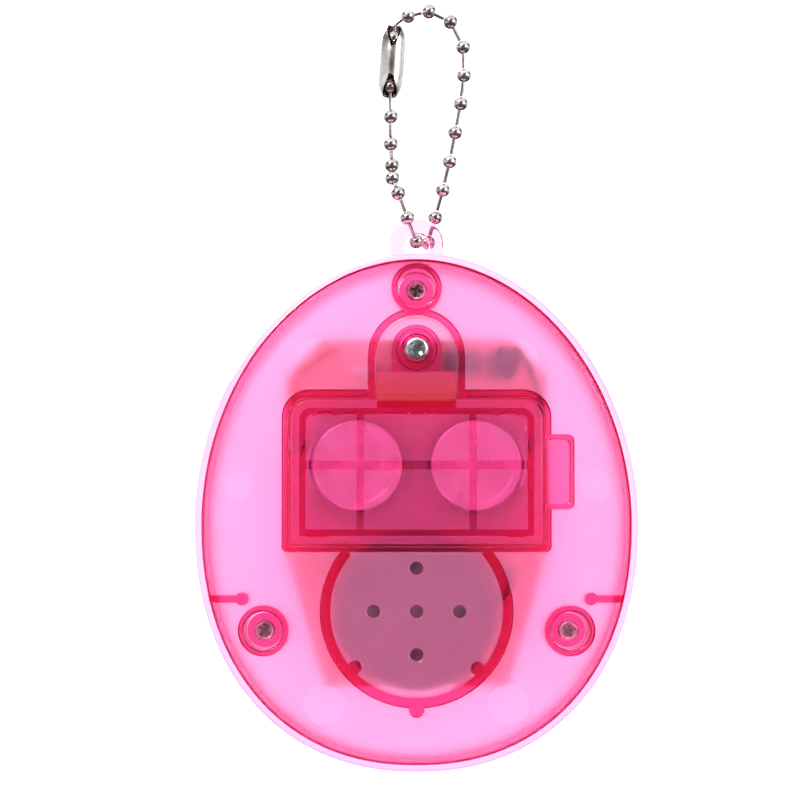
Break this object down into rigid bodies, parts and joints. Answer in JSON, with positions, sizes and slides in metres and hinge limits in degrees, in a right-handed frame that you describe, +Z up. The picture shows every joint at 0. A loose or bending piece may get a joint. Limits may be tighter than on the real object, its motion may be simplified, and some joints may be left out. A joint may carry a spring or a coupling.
{
  "type": "virtual pet keychain",
  "caption": "Flat egg-shaped clear plastic pocket toy with a screen, push buttons, a screwed battery door on its back and a ball-chain loop through its top lug.",
  "frame": {"origin": "the point inside the top of the chain loop where a hook carries the toy", "axes": "+Z up along the hanging toy, +Y out of the battery side, -Y out of the screen side, +X to the right of someone facing the screen"},
  "size_m": [0.055, 0.0187, 0.0967],
  "materials": {
    "shell_pink": "clear tinted",
    "door_pink": "clear tinted",
    "nickel": "bright",
    "screw_steel": "satin",
    "brass_disc": "satin",
    "ceramic": "silvered",
    "lens": "clear",
    "bezel": "gloss",
    "lcd_glass": "gloss",
    "white_plastic": "matte",
    "silicone": "matte",
    "board": "satin",
    "epoxy": "matte",
    "red_pvc": "satin",
    "black_pvc": "satin",
    "button": "gloss"
  },
  "bodies": {
    "chain_top": {"chain_connector": "nickel", "chain_end_ball_upper": "nickel", "chain_end_ball_lower": "nickel", "chain_ball_01": "nickel", "chain_ball_02": "nickel", "chain_ball_03": "nickel", "chain_ball_04": "nickel", "chain_ball_05": "nickel"},
    "chain_link_1": {"chain_ball_18": "nickel", "chain_ball_06": "nickel"},
    "chain_link_2": {"chain_ball_17": "nickel", "chain_ball_07": "nickel"},
    "chain_link_3": {"chain_ball_16": "nickel", "chain_ball_15": "nickel", "chain_ball_08": "nickel"},
    "chain_link_4": {"chain_ball_14": "nickel", "chain_ball_09": "nickel"},
    "chain_link_5": {"chain_ball_13": "nickel", "chain_ball_10": "nickel", "chain_ball_11": "nickel"},
    "lug_ball": {"chain_ball_12": "nickel"},
    "case": {"rear_shell": "shell_pink", "front_shell": "shell_pink", "screen_lens": "lens", "screen_bezel": "bezel", "lcd_panel": "lcd_glass", "lcd_carrier": "white_plastic", "zebra_strip": "silicone", "circuit_board": "board", "board_screw_left": "screw_steel", "board_screw_right": "screw_steel", "chip_blob": "epoxy", "crystal_can": "nickel", "capacitor": "epoxy", "rubber_keypad": "silicone", "speaker_disc": "brass_disc", "speaker_ceramic": "ceramic", "contact_positive": "nickel", "contact_negative": "nickel", "contact_bridge": "nickel", "contact_bridge_pad": "nickel", "battery_wire_red": "red_pvc", "battery_wire_black": "black_pvc", "speaker_wire_red": "red_pvc", "speaker_wire_black": "black_pvc", "cell_left": "nickel", "cell_right": "nickel", "case_screw_top": "screw_steel", "case_screw_left": "screw_steel", "case_screw_right": "screw_steel"},
    "button_left": {"button_left": "button"},
    "button_middle": {"button_middle": "button"},
    "button_right": {"button_right": "button"},
    "battery_door": {"battery_door": "door_pink"},
    "door_screw": {"door_screw": "nickel"}
  },
  "joints": [
    {"name": "chain_fold_1", "type": "hinge", "parent": "chain_top", "child": "chain_link_1", "pos_m": [-0.0012, 0.00095, -0.01185], "axis": [0.9805, 0.0552, -0.1888], "range_deg": [-20, 20]},
    {"name": "chain_fold_2", "type": "hinge", "parent": "chain_link_1", "child": "chain_link_2", "pos_m": [-0.00085, 0.00105, -0.01546], "axis": [0.973, 0.1307, -0.1901], "range_deg": [-20, 20]},
    {"name": "chain_fold_3", "type": "hinge", "parent": "chain_link_2", "child": "chain_link_3", "pos_m": [-0.00057, 0.0012, -0.01868], "axis": [0.9671, 0.2372, -0.0922], "range_deg": [-20, 20]},
    {"name": "chain_fold_4", "type": "hinge", "parent": "chain_link_3", "child": "chain_link_4", "pos_m": [-0.00055, 0.0015, -0.02232], "axis": [0.8648, 0.4881, -0.1174], "range_deg": [-20, 20]},
    {"name": "chain_fold_5", "type": "hinge", "parent": "chain_link_4", "child": "chain_link_5", "pos_m": [-0.00064, 0.00147, -0.02564], "axis": [0.6043, 0.7916, -0.0902], "range_deg": [-20, 20]},
    {"name": "case_swing", "type": "hinge", "parent": "chain_link_5", "child": "lug_ball", "pos_m": [0, 0.00115, -0.02875], "axis": [0, 1, 0], "range_deg": [-15, 15]},
    {"name": "case_tilt", "type": "hinge", "parent": "lug_ball", "child": "case", "pos_m": [0, 0.00115, -0.02875], "axis": [1, 0, 0], "range_deg": [-15, 15]},
    {"name": "button_left_press", "type": "slide", "parent": "case", "child": "button_left", "axis": [0, 1, 0], "range_m": [0, 0.0008], "stiffness_N_per_m": 600},
    {"name": "button_middle_press", "type": "slide", "parent": "case", "child": "button_middle", "axis": [0, 1, 0], "range_m": [0, 0.0008], "stiffness_N_per_m": 600},
    {"name": "button_right_press", "type": "slide", "parent": "case", "child": "button_right", "axis": [0, 1, 0], "range_m": [0, 0.0008], "stiffness_N_per_m": 600},
    {"name": "door_open", "type": "hinge", "parent": "case", "child": "battery_door", "pos_m": [0, 0.0085, -0.06694], "axis": [-1, 0, 0], "range_deg": [0, 70]},
    {"name": "door_screw_turn", "type": "hinge", "parent": "battery_door", "child": "door_screw", "pos_m": [0, 0.0063, -0.04264], "axis": [0, 1, 0], "continuous": true}
  ]
}
